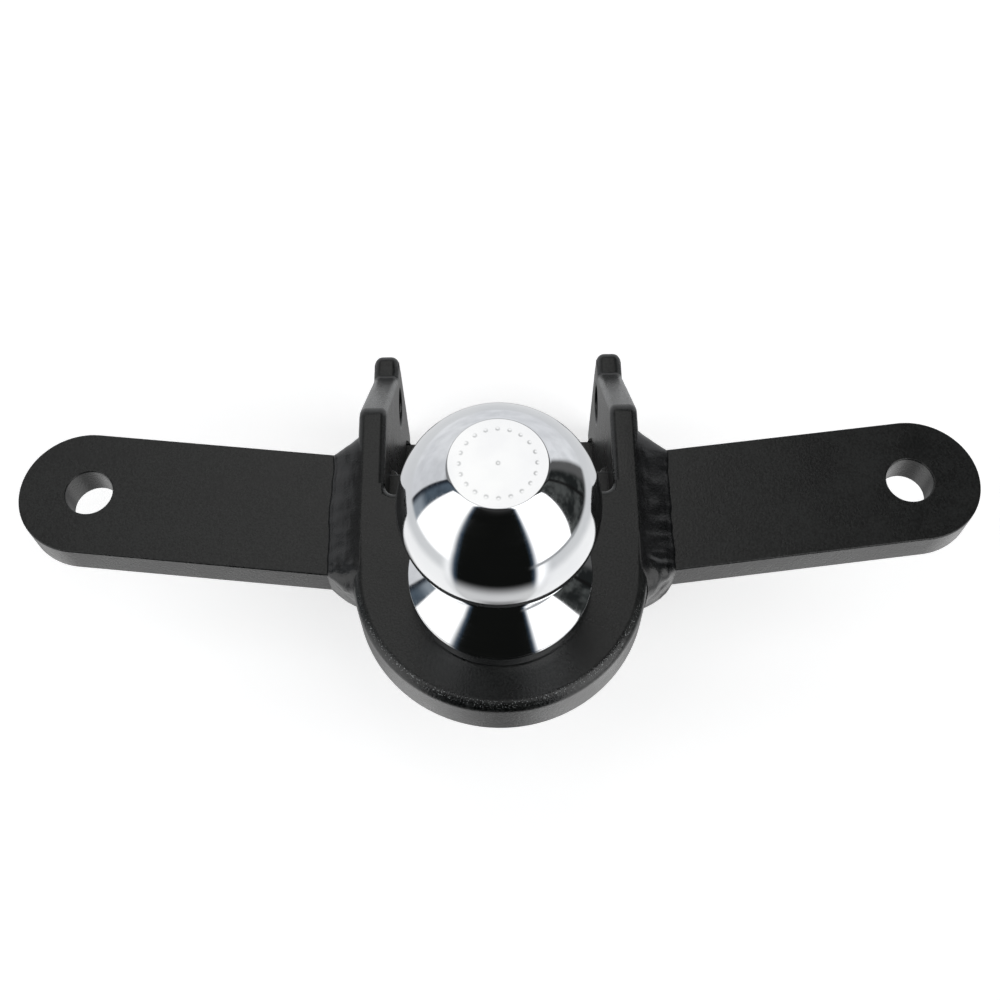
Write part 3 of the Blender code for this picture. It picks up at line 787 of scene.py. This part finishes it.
def make_studio():
    """Surroundings that the chrome mirrors, by bearing (0 behind, 90 right) and elevation in degrees:
    a pale rear wall, two tall soft boxes at the front corners, a dark room between them, a dim ceiling
    with a glow in it and a pale table."""
    world = bpy.data.worlds.new("studio")
    bpy.context.scene.world = world
    world.use_nodes = True
    tree = world.node_tree
    nodes = Nodes(tree)
    split = nodes.add("ShaderNodeSeparateXYZ")
    nodes.feed(split.inputs[0], nodes.add("ShaderNodeTexCoord").outputs["Generated"])
    x, y, z = split.outputs
    degrees = 180 / math.pi
    bearing = nodes.math("MULTIPLY", nodes.math("ARCTAN2", x, y), degrees)
    elevation = nodes.math("MULTIPLY", nodes.math("ARCSINE", z), degrees)

    def both(first, second):
        return nodes.math("MULTIPLY", first, second)

    def above(value, edge, blur):
        """0 below an edge and 1 above it, with a soft step between."""
        return nodes.remap(value, nodes.math("SUBTRACT", edge, blur), nodes.math("ADD", edge, blur))

    def below(value, edge, blur):
        return nodes.math("SUBTRACT", 1.0, above(value, edge, blur))

    def between(value, low, high, blur):
        return both(above(value, low, blur), below(value, high, blur))

    def spot(at_bearing, at_elevation, core, rim):
        """1 within `core` degrees of a direction, 0 beyond `rim` degrees."""
        turn, rise = math.radians(at_bearing), math.radians(at_elevation)
        way = (math.sin(turn) * math.cos(rise), math.cos(turn) * math.cos(rise), math.sin(rise))
        facing = nodes.math("ADD", both(x, way[0]), nodes.math("ADD", both(y, way[1]), both(z, way[2])))
        return nodes.remap(facing, math.cos(math.radians(rim)), math.cos(math.radians(core)))

    def paint(colour, share, radiance):
        """Lay a plain light over the colour so far."""
        return nodes.mix(share, colour, (*radiance, 1))

    # Outlines: each soft box has one leaning edge, and the wall stands behind the part
    right_edge = nodes.remap(elevation, -12.0, 38.0, 109.0, 97.0, smooth=False)
    left_edge = nodes.remap(elevation, 0.0, 55.0, -136.0, -130.0, smooth=False)
    right_box = both(above(bearing, right_edge, 1.2), below(bearing, 147.0, 4.0))
    left_box = both(above(bearing, left_edge, 4.0), below(bearing, -92.0, 1.2))
    wall = both(between(bearing, -76.0, 58.0, 1.2), below(elevation, 34.0, 6.0))

    # Dark room under a ceiling that fades towards the front
    ceiling = nodes.mix(nodes.remap(y, -0.25, 0.15), (0.04, 0.04, 0.04, 1), (0.26, 0.26, 0.26, 1))
    colour = nodes.mix(above(elevation, 57.0, 4.0), (0.006, 0.0065, 0.006, 1), ceiling)

    # Rear wall of uneven paper, a dim strip above it, and the room's corners on its left and right
    streaks = nodes.noise(nodes.add("ShaderNodeTexCoord").outputs["Generated"], 5.0, 4.0, 0.6)
    paper = nodes.mix(nodes.remap(streaks, 0.3, 0.7), (0.80, 0.81, 0.83, 1), (0.97, 0.98, 1.0, 1))
    paper = nodes.mix(nodes.remap(bearing, -76.0, -30.0, 0.45, 0.0), paper, (0.62, 0.63, 0.65, 1))
    colour = nodes.mix(wall, colour, paper)
    upper_rear = both(between(elevation, 36.0, 57.0, 4.0), between(bearing, -96.0, 96.0, 8.0))
    upper_tone = nodes.mix(nodes.remap(bearing, -25.0, 25.0), (0.28, 0.28, 0.28, 1), (0.03, 0.03, 0.03, 1))
    colour = nodes.mix(upper_rear, colour, upper_tone)
    blue_high = nodes.mix(streaks, (0.015, 0.02, 0.03, 1), (0.15, 0.20, 0.25, 1))
    blue = nodes.mix(above(elevation, 2.0, 6.0), (0.30, 0.34, 0.38, 1), blue_high)
    blue = nodes.mix(above(bearing, -80.0, 3.0), blue, (0.02, 0.025, 0.035, 1))
    colour = nodes.mix(between(bearing, -92.0, -76.0, 1.5), colour, blue)
    grey = nodes.mix(nodes.remap(streaks, 0.4, 0.65), (0.016, 0.018, 0.018, 1), (0.085, 0.090, 0.088, 1))
    colour = nodes.mix(between(bearing, 58.0, right_edge, 1.2), colour, grey)
    colour = paint(colour, between(bearing, 56.0, 66.0, 3.0), (0.12, 0.12, 0.12))
    colour = paint(colour, between(bearing, 76.5, 79.5, 1.0), (0.010, 0.010, 0.010))

    # Soft boxes, each with a deep blue frame on the side towards the front
    deep_blue = (0.05, 0.08, 0.12)
    left_frame = between(bearing, nodes.math("SUBTRACT", left_edge, 5.0), left_edge, 3.0)
    colour = paint(colour, between(bearing, 141.0, 151.0, 3.0), deep_blue)
    colour = paint(colour, left_frame, deep_blue)
    colour = paint(colour, right_box, (2.1, 2.1, 2.1))
    colour = paint(colour, left_box, (1.6, 1.6, 1.6))

    # Glow in the ceiling, with a brighter patch in it that the ball's flat mirrors
    colour = paint(colour, spot(-11.0, 62.0, 6.0, 22.0), (0.88, 0.88, 0.87))
    colour = paint(colour, spot(0.0, 62.0, 5.0, 8.0), (1.30, 1.29, 1.27))

    # Table: an apron and brighter sheets at the sides, darker under the part to the rear and the front
    sides = both(above(bearing, nodes.math("ADD", left_edge, 3.0), 8.0), below(bearing, 141.0, 9.0))
    apron = both(below(elevation, -16.0, 3.0), sides)
    colour = paint(colour, apron, (0.78, 0.79, 0.80))
    gap = both(between(elevation, -17.5, -13.5, 1.5), between(bearing, 100.0, 150.0, 6.0))
    colour = paint(colour, gap, (0.35, 0.36, 0.37))
    rear_sector = between(bearing, -70.0, 60.0, 10.0)
    side_table = both(below(elevation, -33.0, 7.0), nodes.math("SUBTRACT", sides, rear_sector))
    colour = paint(colour, side_table, (1.12, 1.12, 1.12))
    under_rear = both(below(elevation, -52.0, 8.0), rear_sector)
    colour = paint(colour, under_rear, (0.34, 0.34, 0.34))
    front_table = both(below(elevation, -45.0, 12.0), nodes.math("SUBTRACT", 1.0, sides))
    colour = paint(colour, front_table, (0.74, 0.74, 0.74))
    under_front = both(below(elevation, -67.0, 5.0),
                       nodes.math("SUBTRACT", 1.0, between(bearing, -155.0, 155.0, 15.0)))
    colour = paint(colour, under_front, (0.30, 0.30, 0.30))

    pale = nodes.add("ShaderNodeBackground")
    pale.inputs["Color"].default_value = (1, 1, 1, 1)
    studio = nodes.add("ShaderNodeBackground")
    nodes.feed(studio.inputs["Color"], colour)
    blend = nodes.add("ShaderNodeMixShader")
    nodes.feed(blend.inputs[0], nodes.add("ShaderNodeLightPath").outputs["Is Camera Ray"])
    nodes.feed(blend.inputs[1], studio.outputs[0])
    nodes.feed(blend.inputs[2], pale.outputs[0])
    nodes.feed(tree.nodes["World Output"].inputs["Surface"], blend.outputs[0])


def make_camera():
    """Looks down at the front, from the photograph's angle."""
    pitch, yaw, roll = math.radians(63.55), math.radians(-0.23), math.radians(-1.06)
    ahead = Vector((math.sin(yaw) * math.cos(pitch), math.cos(yaw) * math.cos(pitch), -math.sin(pitch)))
    level = Vector((math.cos(yaw), -math.sin(yaw), 0))
    upright = level.cross(ahead)
    right = level * math.cos(roll) + upright * math.sin(roll)
    up = upright * math.cos(roll) - level * math.sin(roll)
    lens = bpy.data.cameras.new("camera")
    lens.sensor_width = 36.0
    lens.lens = 47.35
    lens.clip_start = 0.01
    camera = bpy.data.objects.new("camera", lens)
    axes = Matrix((right, up, -ahead)).transposed().to_4x4()
    place = Vector((1.0 * MM, BALL_Y - 164.8 * MM, TOP_Z + 388.6 * MM))
    camera.matrix_world = Matrix.Translation(place) @ axes
    bpy.context.scene.collection.objects.link(camera)
    bpy.context.scene.camera = camera


def main():
    make_ball()
    make_washer()
    make_nut()
    make_platform()
    make_box_plate("coated_web", "front_web", WEB_LOW, Vector((WEB_HIGH.x, WEB_HIGH.y, UNDER_Z)))
    make_box_plate("coated_floor_plate", "floor_plate", FLOOR_LOW, FLOOR_HIGH)
    for word, side in (("left", -1), ("right", 1)):
        make_cheek(word, side)
        make_bar(word, side)
        make_bar_weld(word, side)
        make_inner_welds(word, side)
    make_floor()
    make_studio()
    make_camera()
    bpy.context.scene.view_settings.view_transform = "Standard"


main()
